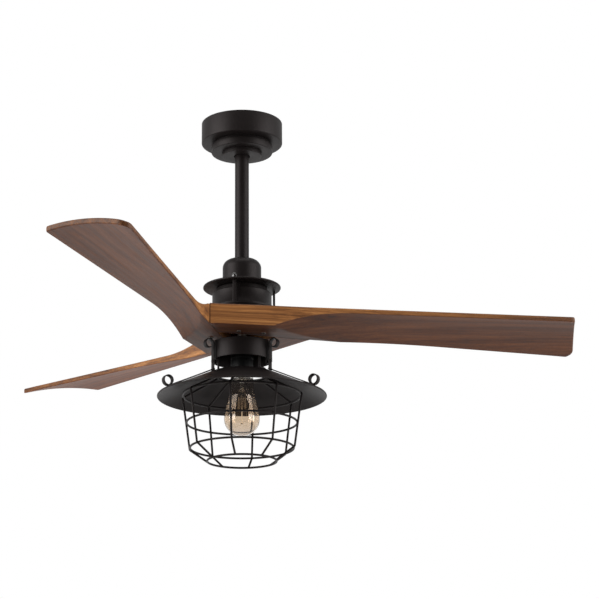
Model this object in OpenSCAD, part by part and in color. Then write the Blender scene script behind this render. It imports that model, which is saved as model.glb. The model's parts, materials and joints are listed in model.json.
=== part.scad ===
// Three-blade ceiling fan with a caged lamp under a cone shade.
// Z is up, the fan's axis is the Z axis, and the ceiling is the plane z = 0.
// Sizes are in millimetres. A "drop" is a distance below the ceiling.

/* [Canopy] */
// Radius of the canopy drum
canopy_r = 77.5; // [74:0.5:90]
// Height of the canopy drum
canopy_h = 41; // [41:0.5:44]
// Radius of the lower canopy tier
tier_r = 58.6; // [56:0.2:62]
// Radius of the collar around the downrod
collar_r = 37.5; // [34:0.5:40]
// Radius of the clearance hole for the downrod
collar_bore_r = 15.5; // [15.5:0.1:20]

/* [Downrod] */
// Outside diameter of the downrod
rod_d = 26.7; // [26:0.1:27]
// Inside diameter of the downrod
rod_bore_d = 21.7; // [16:0.1:22]
// Radius of the hanger ball
ball_r = 28; // [27:0.5:30]
// Drop of the hanger ball's centre
ball_drop = 30; // [29:0.5:31]
// Radius of the dome cover over the rod coupling
cover_r = 36.4; // [35:0.2:40]

/* [Motor] */
// Radius of the flat disc above the motor
disc_r = 73.1; // [70:0.1:80]
// Radius of the motor housing
motor_r = 55.8; // [54.5:0.1:58]
// Radius of the neck on top of the motor housing
neck_r = 48; // [44:0.5:50]
// Radius of the plate that carries the blades
plate_r = 67; // [66:0.5:70]
// Radius from the axis to the inner face of the upper straps
upper_strap_r = 62.1; // [60:0.1:62.5]

/* [Blades] */
// Distance of the straight leading edge from the axis
lead_off = 102.7; // [98:0.1:106]
// Distance of the trailing edge's line from the axis
trail_off = 32.6; // [31:0.1:34]
// Angle by which the trailing edge spreads from the leading edge
spread = 8.25; // [7:0.05:9]
// Reach of the leading tip corner along the blade
lead_reach = 615; // [560:1:640]
// Reach of the trailing tip corner along the blade
trail_reach = 664.5; // [600:0.5:680]
// Thickness of the blade
blade_t = 9.3; // [8:0.1:12]
// Camber of the blade at its tip
camber = 8.5; // [0:0.5:12]
// Angle of the first blade from the X axis
blade_angle = 9.1; // [0:0.1:20]

/* [Lamp] */
// Radius of the lamp housing under the blades
lamp_housing_r = 56.5; // [55:0.5:58]
// Radius of the shade at its rim
shade_r = 157.4; // [150:0.1:165]
// Radius of the shade's top opening
shade_top_r = 50; // [48:0.5:52]
// Diameter of the cage wire
wire_d = 4; // [3:0.1:4.5]
// Angle of the first cage wire from the -Y direction, towards +X
wire_angle = -11; // [-15:1:-7]
// Angle of the first lower strap from the -Y direction, towards +X
lower_strap_angle = 58.5; // [55:0.5:60]
// Angle of the first shade post from the -Y direction, towards +X
post_angle = 45.5; // [43:0.5:48]

/* [Hidden] */

fn = 96;
fine = 48;
gap = 0.05;

steel = "#4a4748";
dark_steel = "#2f2d2e";
zinc = "#b8b8b4";
wood_tone = "#9a6f4b";
copper = "#b87333";

// Drops of the levels down the fan
tier_top = 45.6;
tier_bottom = 59.2;
collar_bottom = 66.2;
sheet = 1.5;
seat_top = 42;
seat_bottom = 50;
rod_top = 10;
rod_bottom = 303;
rod_pin_drop = 294;
cover_top = 275;
cover_bottom = 326.9;
yoke_top = 284;
yoke_bottom = 322;
disc_top = 327.7;
disc_bottom = 331.6;
shoulder_drop = 341.5;
plate_top = 373.5;
hub_top = 391;
hub_bottom = 429;
lamp_top = 437.6;
lamp_bottom = 472.3;
shade_top = 495.3;
shade_rim = 541;
socket_top = 458;
socket_bottom = 497;
bulb_mid = 582;
bulb_bottom = 613.6;

rod_r = rod_d / 2;
pin_r = 2.6;
shaft_r = 8.5;
shaft_bore_r = 6.9;
shaft_bottom = 447;
bearing_r = 17.5;
bearing_h = 10;

// The ceiling bracket and its screws
bolt_spacing = 88.9;
bolt_hole_r = 2.6;
canopy_screw_x = 46;

// The blade screws, in the first blade's own axes
screw_spots = [[-15, -57.5], [32, -50]];

// Turns a shape about Z from the -Y direction towards +X
module around(angle) { rotate([0, 0, angle - 90]) children(); }

// A solid of revolution from a profile of [radius, drop] points
module turned(profile, fn = fn) {
  rotate_extrude($fn = fn) polygon([for (p = profile) [p[0], -p[1]]]);
}

// Points of an arc as [radius, drop], from a centre, by angles above the horizontal
function arc(r, drop, size, from, to, n = 6) =
  [for (i = [0:n]) let (a = from + (to - from) * i / n)
    [r + size * cos(a), drop - size * sin(a)]];

// A tube standing on Z between two drops
module tube(outer, inner, top, bottom, fn = fn) {
  translate([0, 0, -bottom]) difference() {
    cylinder(r = outer, h = bottom - top, $fn = fn);
    translate([0, 0, -1]) cylinder(r = inner, h = bottom - top + 2, $fn = fn);
  }
}

// A rod along Z between two drops
module rod(r, top, bottom, fn = fine) {
  translate([0, 0, -bottom]) cylinder(r = r, h = bottom - top, $fn = fn);
}

// A rod from one point to another
module bar(from, to, r) {
  v = to - from;
  translate(from) rotate([0, acos(v[2] / norm(v)), atan2(v[1], v[0])])
    cylinder(r = r, h = norm(v), $fn = 16);
}

// A ring of round wire
module wire_ring(r, drop, d = wire_d) {
  translate([0, 0, -drop]) rotate_extrude($fn = fn) translate([r, 0]) circle(d = d, $fn = 24);
}

// ---------------------------------------------------------------- ceiling mount

bracket_half = 56;
bracket_w = 34;
bracket_t = 2.5;
arm_x = 30.5;
arm_w = 24;
arm_t = 2.5;
foot_drop = canopy_h - sheet;

// The flat plate screws to the outlet box
module ceiling_plate() {
  color(zinc) difference() {
    translate([-bracket_half, -bracket_w / 2, -bracket_t])
      cube([2 * bracket_half, bracket_w, bracket_t]);
    rod(16, -1, bracket_t + 1);
    for (side = [-1, 1])
      translate([side * bolt_spacing / 2, 0, 0]) rod(bolt_hole_r, -1, bracket_t + 1);
  }
}

// Two arms under the plate hold the ring that the ball sits in
module hanger_cradle() {
  arm_top = bracket_t;
  color(zinc) difference() {
    union() {
      for (side = [0, 180]) rotate([0, 0, side])
        translate([arm_x, -arm_w / 2, -seat_top - 3]) cube([arm_t, arm_w, seat_top + 3 - arm_top]);
      rod(arm_x + arm_t, seat_top, seat_bottom, fn);
    }
    translate([0, 0, -ball_drop]) sphere(r = ball_r + gap, $fn = fn);
    rod(20, seat_top - 4, seat_bottom + 1, fn);
    translate([0, 0, -ball_drop]) rotate([0, 90, 0])
      cylinder(r = register_r + gap, h = 4 * arm_x, center = true, $fn = fine);
  }
}

// A tab on each arm takes a canopy screw
module canopy_tabs() {
  color(zinc) for (side = [0, 180]) rotate([0, 0, side]) difference() {
    translate([arm_x + arm_t, -9, -foot_drop]) cube([19.5, 18, 2]);
    translate([canopy_screw_x, 0, 0]) rod(2, foot_drop - 3, foot_drop + 1);
  }
}

// Two pins through the arms enter the ball's sides, so it can only tilt about X
register_r = 2.5;
register_in = 22.5;

module register_pins() {
  color(zinc) for (side = [0, 180]) rotate([0, 0, side])
    translate([0, 0, -ball_drop]) rotate([0, 90, 0]) {
      translate([0, 0, register_in])
        cylinder(r = register_r, h = arm_x + arm_t - register_in, $fn = fine);
      translate([0, 0, arm_x + arm_t]) cylinder(r = 4, h = 1.2, $fn = fine);
    }
}

module canopy() {
  edge = 1.5;
  inner = canopy_r - sheet;
  color(steel) difference() {
    turned(concat(
      [[38, canopy_h]],
      arc(canopy_r - edge, canopy_h - edge, edge, -90, 0),
      [[canopy_r, 0], [inner, 0], [inner, foot_drop], [38, foot_drop]]));
    for (side = [-1, 1])
      translate([side * canopy_screw_x, 0, 0]) rod(2.3, foot_drop - 1, canopy_h + 1);
  }
}

module canopy_screws() {
  color(zinc) for (side = [-1, 1]) translate([side * canopy_screw_x, 0, 0]) {
    rod(1.95, foot_drop - 2.5, canopy_h);
    rod(4, canopy_h, canopy_h + 2.6);
  }
}

module canopy_tier() {
  edge = 1.2;
  neck = 55;
  hole = collar_r + 0.3;
  color(steel) turned(concat(
    [[hole, tier_bottom]],
    arc(tier_r - edge, tier_bottom - edge, edge, -90, 0),
    arc(tier_r - edge, tier_top + edge, edge, 0, 90),
    [[neck, tier_top], [neck, canopy_h], [neck - sheet, canopy_h],
     [neck - sheet, tier_top + sheet], [tier_r - sheet, tier_top + sheet],
     [tier_r - sheet, tier_bottom - sheet], [hole, tier_bottom - sheet]]));
}

module rod_collar() {
  edge = 1;
  flange = 43;
  floor_drop = tier_bottom - sheet;
  color(dark_steel) turned(concat(
    [[collar_bore_r, collar_bottom]],
    arc(collar_r - edge, collar_bottom - edge, edge, -90, 0),
    [[collar_r, floor_drop], [flange, floor_drop], [flange, floor_drop - sheet],
     [collar_r - 2, floor_drop - sheet], [collar_r - 2, collar_bottom - 2],
     [collar_bore_r, collar_bottom - 2]]));
}

module receiver_box() {
  corner = 3;
  length = 60;
  depth = 20;
  color("#262626") translate([-length / 2, 42, -foot_drop]) difference() {
    union() {
      translate([corner, 0, 0]) cube([length - 2 * corner, depth, 24]);
      translate([0, corner, 0]) cube([length, depth - 2 * corner, 24]);
      for (x = [corner, length - corner]) for (y = [corner, depth - corner])
        translate([x, y, 0]) cylinder(r = corner, h = 24, $fn = fine);
    }
    translate([8, 4, 22.8]) cube([44, 12, 3]);
  }
}

module wire_connectors() {
  color("#d9d4c8") for (x = [-18, 0, 18]) translate([x, -56, -foot_drop]) {
    cylinder(r = 6, h = 8, $fn = fine);
    translate([0, 0, 8]) cylinder(r1 = 6, r2 = 4, h = 14, $fn = fine);
  }
}

// ---------------------------------------------------------------- hanger ball

ball_bore_r = 14.7;

module hanger_ball() {
  color(steel) translate([0, 0, -ball_drop]) difference() {
    sphere(r = ball_r, $fn = fn);
    translate([0, 0, -ball_r - 1]) cylinder(r = ball_bore_r, h = 2 * ball_r + 2, $fn = fn);
    rotate([90, 0, 0]) cylinder(r = pin_r + gap, h = 2 * ball_r + 2, center = true, $fn = fine);
    for (side = [0, 180]) rotate([0, 0, side]) translate([register_in - 0.5, 0, 0])
      rotate([0, 90, 0]) cylinder(r = register_r + gap, h = ball_r, $fn = fine);
  }
}

// ---------------------------------------------------------------- hanging parts

pin_half = 26.8;

module hanger_pin() {
  color(zinc) translate([0, 0, -ball_drop]) rotate([90, 0, 0])
    cylinder(r = pin_r, h = 2 * pin_half, center = true, $fn = fine);
}

module downrod() {
  color(steel) difference() {
    tube(rod_r, rod_bore_d / 2, rod_top, rod_bottom);
    translate([0, 0, -ball_drop]) rotate([90, 0, 0])
      cylinder(r = pin_r + gap, h = rod_d + 4, center = true, $fn = fine);
    translate([0, 0, -rod_pin_drop]) rotate([0, 90, 0])
      cylinder(r = pin_r + gap, h = rod_d + 4, center = true, $fn = fine);
  }
}

// Three straight leads pass beside both pins, down the rod and the hollow shaft
lead_r = 1.2;
lead_at_r = 5.6;
lead_end = 440;

module supply_leads() {
  colors = ["#e8e4da", "#1c1c1c", "#2f6b3a"];
  for (i = [0:2]) color(colors[i]) rotate([0, 0, 45 + 90 * i])
    translate([lead_at_r, 0, 0]) rod(lead_r, rod_top + 2, lead_end, 24);
}

module coupling_cover() {
  round_r = 16;
  centre_r = cover_r - round_r;
  centre_drop = cover_top + round_r;
  hole = rod_r + 0.25;
  color(steel) turned(concat(
    [[hole, cover_top - 3.2]],
    arc(centre_r, centre_drop, round_r, 90, 0, 10),
    [[cover_r, cover_bottom], [cover_r - sheet, cover_bottom]],
    arc(centre_r, centre_drop, round_r - sheet, 0, 90, 10),
    [[hole, cover_top - 3.2 + sheet]]));
}

module rod_yoke() {
  color("#8d8d8d") difference() {
    rod(20, yoke_top, yoke_bottom, fn);
    rod(rod_r + gap, yoke_top - 1, rod_bottom + 1, fn);
    rod(shaft_r + gap, rod_bottom, yoke_bottom + 1, fn);
    translate([0, 0, -rod_pin_drop]) rotate([0, 90, 0])
      cylinder(r = pin_r + gap, h = 60, center = true, $fn = fine);
  }
}

module yoke_pin() {
  color(zinc) translate([0, 0, -rod_pin_drop]) rotate([0, 90, 0]) difference() {
    union() {
      cylinder(r = pin_r, h = 52, center = true, $fn = fine);
      translate([0, 0, 20.2]) cylinder(r = 5, h = 3, $fn = fine);
    }
    rotate([90, 0, 0]) translate([0, -22.5, 0])
      cylinder(r = 0.9, h = 12, center = true, $fn = 24);
    translate([0, 0, 23.2]) cylinder(r = 6, h = 6, $fn = fine);
  }
}

module motor_shaft() {
  color(zinc) tube(shaft_r, shaft_bore_r, rod_bottom + 2, shaft_bottom);
}

stator_r = 39;
stator_top = 351.2;
stator_bottom = 365.2;
slots = 12;

module stator_core() {
  color("#7c7c80") translate([0, 0, -stator_bottom])
    linear_extrude(height = stator_bottom - stator_top) difference() {
      circle(r = stator_r, $fn = fn);
      circle(r = shaft_r + gap, $fn = fn);
      for (i = [0:slots - 1]) rotate([0, 0, 360 * i / slots]) {
        translate([26, 0]) circle(r = 4.5, $fn = fine);
        translate([26, -1.2]) square([20, 2.4]);
      }
    }
}

module stator_windings() {
  color(copper) for (drop = [stator_top - 2.6, stator_bottom + 2.6])
    translate([0, 0, -drop]) rotate_extrude($fn = fn) {
      translate([22, -2.5]) square([11, 5]);
      translate([33, 0]) circle(r = 2.5, $fn = 24);
    }
}

// ---------------------------------------------------------------- rotor

module flange_disc() {
  half = (disc_bottom - disc_top) / 2;
  hole = 24;
  color(steel) turned(concat(
    [[hole, disc_bottom]],
    arc(disc_r - half, disc_top + half, half, -90, 90, 8),
    [[hole, disc_top]]));
}

strap_w = 6.8;
strap_t = 2.8;
strap_turns = [-12.6, 107.4, 227.4];

module upper_straps() {
  color(steel) for (turn = strap_turns) around(turn)
    translate([upper_strap_r, -strap_w / 2, -plate_top])
      cube([strap_t, strap_w, plate_top - disc_bottom]);
}

module cap_nuts() {
  nut_r = 5.3;
  seat_r = upper_strap_r + strap_t / 2;
  color(steel) for (turn = strap_turns) around(turn)
    translate([seat_r, 0, -disc_top]) {
      cylinder(r = nut_r, h = 5, $fn = fine);
      translate([0, 0, 5]) intersection() {
        sphere(r = nut_r, $fn = fine);
        cylinder(r = nut_r, h = nut_r, $fn = fine);
      }
    }
}

housing_wall = 2;

module motor_housing() {
  edge = 2.5;
  lip = 0.6;
  inner = motor_r - housing_wall;
  top = disc_bottom + 0.1;
  neck_in = neck_r - housing_wall;
  boss = bearing_r + 3;
  bearing_end = top + housing_wall + bearing_h;
  color(steel) turned(concat(
    [[12, top], [12, top + housing_wall], [bearing_r, top + housing_wall],
     [bearing_r, bearing_end], [boss, bearing_end], [boss, top + housing_wall],
     [neck_in, top + housing_wall], [neck_in, shoulder_drop + housing_wall],
     [inner, shoulder_drop + housing_wall], [inner, plate_top],
     [motor_r + lip, plate_top], [motor_r + lip, plate_top - 4],
     [motor_r, plate_top - 4.6]],
    arc(motor_r - edge, shoulder_drop + edge, edge, 0, 90),
    [[neck_r, shoulder_drop]],
    arc(neck_r - edge, top + edge, edge, 0, 90)));
}

module bearing(top) {
  color("#9a9a9c") tube(bearing_r, shaft_r + gap, top, top + bearing_h);
}

module upper_bearing() { bearing(disc_bottom + 0.1 + housing_wall); }

module lower_bearing() { bearing(plate_boss_bottom - bearing_h - 1); }

magnet_top = 348;
magnet_bottom = 370;
magnet_in = 40.2;
magnet_out = 45.4;
magnet_count = 12;

module back_iron() {
  color("#5e5e62") tube(motor_r - housing_wall, magnet_out, magnet_top, magnet_bottom);
}

module rotor_magnets() {
  span = 26;
  color("#3a3a3e") for (i = [0:magnet_count - 1])
    rotate([0, 0, 360 * i / magnet_count]) translate([0, 0, -magnet_bottom])
      rotate_extrude(angle = span, $fn = fn)
        translate([magnet_in, 0]) square([magnet_out - magnet_in, magnet_bottom - magnet_top]);
}

plate_boss_bottom = 404;

// The cast plate under the motor: it rests on the blades and holds the lower bearing
module blade_plate() {
  body_r = plate_r - 1.5;
  flange_drop = plate_top + 4;
  boss = 24;
  pocket_top = flange_drop + 2;
  bearing_top = plate_boss_bottom - bearing_h - 1;
  color(dark_steel) difference() {
    turned([[12, plate_top], [plate_r, plate_top], [plate_r, flange_drop],
      [body_r, flange_drop], [body_r, hub_top], [48, hub_top], [48, pocket_top],
      [boss, pocket_top], [boss, plate_boss_bottom], [bearing_r, plate_boss_bottom],
      [bearing_r, bearing_top], [12, bearing_top]]);
    blade_screw_holes(2, hub_top - 9, hub_top + 1);
  }
}

module blade_screw_holes(r, top, bottom) {
  for (turn = [0, 120, 240]) rotate([0, 0, blade_angle + turn])
    for (spot = screw_spots) translate([spot[0], spot[1], 0]) rod(r, top, bottom, 24);
}

module blade_screws() {
  color("#c9c3bb") {
    blade_screw_holes(1.95, hub_top - 7, hub_bottom);
    blade_screw_holes(4.2, hub_bottom, hub_bottom + 2.2);
  }
}

// ---------------------------------------------------------------- blades

// The blade lies along +X with its straight leading edge at y = -lead_off. Its
// trailing edge runs on a line at trail_off from the axis, and its root butts
// against the next blade's trailing edge, so the three roots form a pinwheel.
seam = 0.15;

function mix(a, b, t) = a + (b - a) * t;
function clamp(x) = min(1, max(0, x));
function trail_y(x) = (x * sin(spread) - trail_off) / cos(spread);

root_a = spread - 120;
root_off = trail_off - seam;
lead_root = [(root_off - lead_off * cos(root_a)) / sin(root_a), -lead_off];
trail_root_x = (-root_off * cos(spread) + trail_off * cos(root_a)) / sin(120);
trail_root = [trail_root_x, trail_y(trail_root_x)];
lead_tip = [lead_reach, -lead_off];
trail_tip = [trail_reach, trail_y(trail_reach)];
tip_len = norm(trail_tip - lead_tip);

// How far the rounded tip corners pull the tip edge in, across the blade
lead_corner = 6;
trail_corner = 22;
function pull(d, r) = d < r ? r - sqrt(r * r - (r - d) * (r - d)) : 0;
function tip_pull(u) = pull(u * tip_len, lead_corner) + pull((1 - u) * tip_len, trail_corner);

// The edge of the hub's flat underside, where the blade is carved thin
carve_start = 41;
function carve_x(u) = carve_start + 75 * u + 75 * pow(u, 4);
function carve_point(u) = let (x = carve_x(u)) [x, mix(-lead_off, trail_y(x), u)];

function along(x) = clamp((x - carve_start) / (lead_reach - carve_start));
function bend(x, u) = camber * along(x) * 4 * u * (1 - u);

// Drops of the thin blade's upper face, from the leading to the trailing edge
lead_rise = 4;
trail_fall = 23.4;
trail_rise = 2.3;
function face_drop(x, u) =
  mix(hub_top - lead_rise * along(x), hub_top + trail_fall - trail_rise * pow(along(x), 2), u)
  - bend(x, u);

function ease(x, start, length, power) = pow(1 - clamp((x - start) / length), power);

function upper_z(x, u) =
  -mix(face_drop(x, u), hub_top, ease(x, 75 + 52 * u, 110, 2));

function lower_z(x, u) =
  -mix(face_drop(x, u) + blade_t, hub_bottom, ease(x, carve_x(u), mix(150, 200, u), 2.2));

// Rows run from the root to the tip, columns from the leading to the trailing edge
hub_rows = 6;
thin_rows = 22;
rows = hub_rows + thin_rows;
columns = [0, 0.02, 0.05, 0.1, 0.2, 0.32, 0.44, 0.56, 0.68, 0.8, 0.88, 0.94, 0.98, 1];
last = len(columns) - 1;

function tip_point(u) = mix(lead_tip, trail_tip, u) - [tip_pull(u), 0];

function plan_point(row, u) =
  row <= hub_rows
    ? mix(mix(lead_root, trail_root, u), carve_point(u), row / hub_rows)
    : mix(carve_point(u), tip_point(u), pow((row - hub_rows) / thin_rows, 1.25));

// Both faces share one quad mesh, lower face first
function face_points(lower) =
  [for (row = [0:rows]) for (u = columns) let (p = plan_point(row, u))
    [p[0], p[1], lower ? lower_z(p[0], u) : upper_z(p[0], u)]];

width = last + 1;
count = (rows + 1) * width;
function quad(a, b, c, d) = [[a, b, c], [a, c, d]];

blade_faces = concat(
  [for (r = [0:rows - 1]) for (c = [0:last - 1]) let (i = r * width + c)
    each quad(i, i + width, i + width + 1, i + 1)],
  [for (r = [0:rows - 1]) for (c = [0:last - 1]) let (i = count + r * width + c)
    each quad(i, i + 1, i + width + 1, i + width)],
  [for (r = [0:rows - 1]) let (i = r * width)
    each quad(i, i + count, i + count + width, i + width)],
  [for (r = [0:rows - 1]) let (i = r * width + last)
    each quad(i, i + width, i + count + width, i + count)],
  [for (c = [0:last - 1]) each quad(c, c + 1, c + 1 + count, c + count)],
  [for (c = [0:last - 1]) let (i = rows * width + c)
    each quad(i, i + count, i + count + 1, i + 1)]);

module blade(turn) {
  color(wood_tone) difference() {
    rotate([0, 0, blade_angle + turn])
      polyhedron(points = concat(face_points(true), face_points(false)), faces = blade_faces);
    rotate([0, 0, blade_angle + turn]) for (spot = screw_spots)
      translate([spot[0], spot[1], 0]) rod(2.3, hub_top - 1, hub_bottom + 1, 24);
  }
}

module blade_right() { blade(0); }
module blade_back() { blade(120); }
module blade_left() { blade(240); }

// ---------------------------------------------------------------- lamp

module lamp_housing() {
  edge = 1.5;
  inner = lamp_housing_r - sheet;
  color(steel) difference() {
    union() {
      turned(concat(
        [[shaft_r + gap, lamp_top], [shaft_r + gap, lamp_top + 2], [inner, lamp_top + 2],
         [inner, lamp_bottom], [lamp_housing_r, lamp_bottom]],
        arc(lamp_housing_r - edge, lamp_top + edge, edge, 0, 90)));
      // a tab hangs from the wall behind each lower strap
      for (turn = lower_strap_turns) around(turn)
        translate([tab_r, -4.5, -tab_bottom]) cube([tab_t, 9, tab_bottom - lamp_bottom + 6]);
    }
    for (turn = post_turns) around(turn)
      translate([post_circle_r, 0, 0]) rod(post_r + gap, lamp_top - 1, lamp_top + 3, 24);
    for (turn = lower_strap_turns) around(turn) translate([tab_r - 1, 0, -strap_screw_drop])
      rotate([0, 90, 0]) cylinder(r = strap_screw_r + gap, h = tab_t + 2, $fn = 24);
  }
}

module shaft_nut() {
  color(zinc) difference() {
    rod(14, lamp_top + 2, lamp_top + 8, 6);
    rod(shaft_r + gap, lamp_top + 1, lamp_top + 9);
  }
}

post_r = 2;
post_circle_r = 45.3;
post_turns = [post_angle, post_angle + 120, post_angle + 240];
lower_strap_turns = [lower_strap_angle, lower_strap_angle + 120, lower_strap_angle + 240];
tab_r = 54.6;
tab_t = 1.6;
tab_bottom = 484;

module shade_posts() {
  color(steel) for (turn = post_turns) around(turn)
    translate([post_circle_r, 0, 0]) rod(post_r, lamp_top + 0.2, shade_top + 0.8, 24);
}

spider_t = 2;
socket_r = 21;

module socket_spider() {
  color(dark_steel) difference() {
    union() {
      rod(socket_r + 3.5, shade_top - spider_t, shade_top, fn);
      for (turn = post_turns) around(turn)
        translate([socket_r, -4.5, -shade_top]) cube([56.5 - socket_r, 9, spider_t]);
    }
    rod(socket_r + gap, shade_top - 5, shade_top + 1, fn);
    for (turn = post_turns) around(turn) {
      translate([post_circle_r, 0, 0]) rod(post_r + gap, shade_top - 3, shade_top + 1, 24);
      translate([lip_screw_r, 0, 0]) rod(1.3, shade_top - 3, shade_top + 1, 24);
    }
  }
}

socket_bore_r = 13.6;
socket_seat = 472.5;

module lamp_socket() {
  color("#1e1c1c") difference() {
    union() {
      turned(concat([[0, socket_top]],
        [[socket_r - 3, socket_top], [socket_r, socket_top + 3],
         [socket_r, socket_bottom], [0, socket_bottom]]));
      rod(shaft_bore_r - gap, lamp_top + 4, socket_top + 1);
    }
    rod(socket_bore_r, socket_seat, socket_bottom + 1, fn);
    rod(4.8, lamp_top + 3, socket_seat + 1);
  }
}

// ---- lower straps: a strip with a scroll at each end, drawn in the [radius, -drop] plane

strip_t = 2;
strip_w = 10;
strip_r = 60;
top_scroll_r = 9.6;
top_scroll_drop = 446.2;
rim_scroll_r = 10.4;
strap_screw_drop = 479;
strap_screw_r = 1.6;
scroll_gap = 1.2;
shade_slope = atan2(shade_rim - shade_top, shade_r - 56);

// Where the strip bends from upright to the slope of the shade
bend_drop = shade_top - 1;
foot_r = 2.2;
run_end_r = 149;
function run_drop(r) = bend_drop + (r - strip_r) * tan(shade_slope);

module scroll(size) {
  difference() {
    circle(r = size, $fn = fine);
    circle(r = size - strip_t, $fn = fine);
  }
}

module strip_outline() {
  half = strip_t / 2;
  run_len = (run_end_r - strip_r) / cos(shade_slope);
  rim_at = [run_end_r, -run_drop(run_end_r)];
  up = [sin(shade_slope), cos(shade_slope)];
  difference() {
    union() {
      translate([strip_r + top_scroll_r, -top_scroll_drop]) scroll(top_scroll_r);
      translate([strip_r, -bend_drop]) square([strip_t, bend_drop - top_scroll_drop]);
      translate([strip_r + half, -bend_drop]) rotate(-shade_slope)
        translate([0, -half]) square([run_len, strip_t]);
      translate([strip_r + half, -bend_drop]) circle(r = foot_r, $fn = fine);
      translate(rim_at + up * (rim_scroll_r - half)) scroll(rim_scroll_r);
    }
    // each scroll stays a little open
    translate([strip_r + top_scroll_r - 4, -top_scroll_drop - top_scroll_r - 1])
      square([scroll_gap, 4]);
    translate(rim_at + up * rim_scroll_r - [rim_scroll_r + 2, 1]) square([5, scroll_gap]);
  }
}

module lower_strap(turn) {
  color(steel) around(turn) difference() {
    rotate([90, 0, 0]) linear_extrude(height = strip_w, center = true) strip_outline();
    translate([strip_r - 1, 0, -strap_screw_drop]) rotate([0, 90, 0])
      cylinder(r = strap_screw_r + gap, h = strip_t + 2, $fn = 24);
  }
}

// A screw through each strap and a sleeve ends in a nut behind the housing's tab
module strap_screws() {
  nut_t = 2.6;
  start = tab_r - nut_t;
  color(dark_steel) for (turn = lower_strap_turns) around(turn)
    translate([0, 0, -strap_screw_drop]) rotate([0, 90, 0]) {
      translate([0, 0, start - 1])
        cylinder(r = strap_screw_r, h = strip_r + strip_t - start + 1, $fn = 24);
      translate([0, 0, start]) cylinder(r = 3, h = nut_t, $fn = 24);
      translate([0, 0, tab_r + tab_t]) cylinder(r = 3, h = strip_r - tab_r - tab_t, $fn = 24);
      translate([0, 0, strip_r + strip_t]) cylinder(r1 = 3.4, r2 = 2.4, h = 1.6, $fn = 24);
    }
}

module lower_strap_right() { lower_strap(lower_strap_turns[0]); }
module lower_strap_back() { lower_strap(lower_strap_turns[1]); }
module lower_strap_left() { lower_strap(lower_strap_turns[2]); }

// ---- shade

shade_t = 1.2;
shade_lip_r = 57.5;
lip_screw_r = 53;

module shade() {
  bead = 1.5;
  lower = shade_top + shade_t;
  color(steel) difference() {
    union() {
      turned([[shade_top_r, shade_top], [shade_lip_r, shade_top],
        [shade_r - bead, shade_rim - bead], [shade_r - bead, shade_rim - bead + shade_t],
        [shade_lip_r - 0.3, lower], [shade_top_r, lower]]);
      wire_ring(shade_r - bead, shade_rim - bead, 2 * bead);
    }
    for (turn = post_turns) around(turn)
      translate([lip_screw_r, 0, 0]) rod(1.3, shade_top - 1, shade_top + 3, 24);
  }
}

module shade_screws() {
  color(dark_steel) for (turn = post_turns) around(turn)
    translate([lip_screw_r, 0, 0]) {
      rod(1.25, shade_top - spider_t, clip_bottom, 24);
      rod(2.6, shade_top - spider_t - 1.6, shade_top - spider_t, 24);
      rod(2.4, clip_bottom, clip_bottom + 1.6, 24);
    }
}

// A clip under each screw carries the cage's collar
module cage_clips() {
  color(dark_steel) for (turn = post_turns) around(turn) difference() {
    translate([45, -4, -clip_bottom]) cube([11, 8, clip_bottom - shade_top - shade_t]);
    translate([lip_screw_r, 0, 0]) rod(1.3, shade_top, clip_bottom + 1, 24);
  }
}

// ---- cage

wire_r = wire_d / 2;
cage_wires = 8;
collar_at = [46, 501.2];
clip_bottom = collar_at[1] - wire_r + 0.2;
ring_top_at = [109.5, 537.1];
ring_upper_at = [102.1, 588.9];
ring_lower_at = [95.4, 636.1];
ring_base_at = [63.8, 660.6];
weld = 1.2;

module cage_ring(at) { color(steel) wire_ring(at[0], at[1]); }

module cage_collar() { cage_ring(collar_at); }
module cage_ring_top() { cage_ring(ring_top_at); }
module cage_ring_upper() { cage_ring(ring_upper_at); }
module cage_ring_lower() { cage_ring(ring_lower_at); }
module cage_ring_base() { cage_ring(ring_base_at); }

// The wires lie outside the rings, welded where they cross
shift = wire_d - weld;
upright_top = [ring_top_at[0] + shift, ring_top_at[1]];
upright_bottom = [ring_lower_at[0] + shift, ring_lower_at[1]];
function spot(at) = [at[0], 0, -at[1]];

module cage_run(from, to) {
  color(steel) for (i = [0:cage_wires - 1]) around(wire_angle + 45 * i)
    bar(spot(from), spot(to), wire_r);
}

// Spokes go from the collar out to the top corners
module cage_spokes() {
  cage_run([collar_at[0] + 1, collar_at[1] + shift], upright_top);
}

module cage_uprights() {
  cage_run(upright_top, upright_bottom);
}

// The struts are butted on the base ring
module cage_struts() {
  butt = (wire_r - weld) / norm(upright_bottom - ring_base_at);
  cage_run(upright_bottom, mix(ring_base_at, upright_bottom, butt));
}

// ---- bulb

base_r = 13.1;
base_top = 474;
base_bottom = 500;
glass_r = 33;
glass_t = 1;
neck_bulb_r = 21.2;

// Radius of the pear-shaped glass at a drop between its neck and its widest place
glass_top = 504;
glass_mouth = [[13.2, 500.2], [17.4, 500.7], [20.2, 502]];
function glass_at(drop) =
  let (t = pow((drop - glass_top) / (bulb_mid - glass_top), 1.15))
    mix(neck_bulb_r, glass_r, t * t * (3 - 2 * t));

function glass_line(inset) = concat(
  [for (p = glass_mouth) [p[0] - inset, p[1]]],
  [for (i = [0:10]) let (drop = mix(glass_top, bulb_mid, i / 10)) [glass_at(drop) - inset, drop]],
  [for (i = [1:12]) let (a = 90 * i / 12)
    [(glass_r - inset) * cos(a), bulb_mid + (bulb_bottom - bulb_mid - inset) * sin(a)]]);

function reversed(list) = [for (i = [len(list) - 1:-1:0]) list[i]];

module bulb_glass() {
  color("#e0b070", 0.5) turned(concat(glass_line(0), reversed(glass_line(glass_t))));
}

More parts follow.
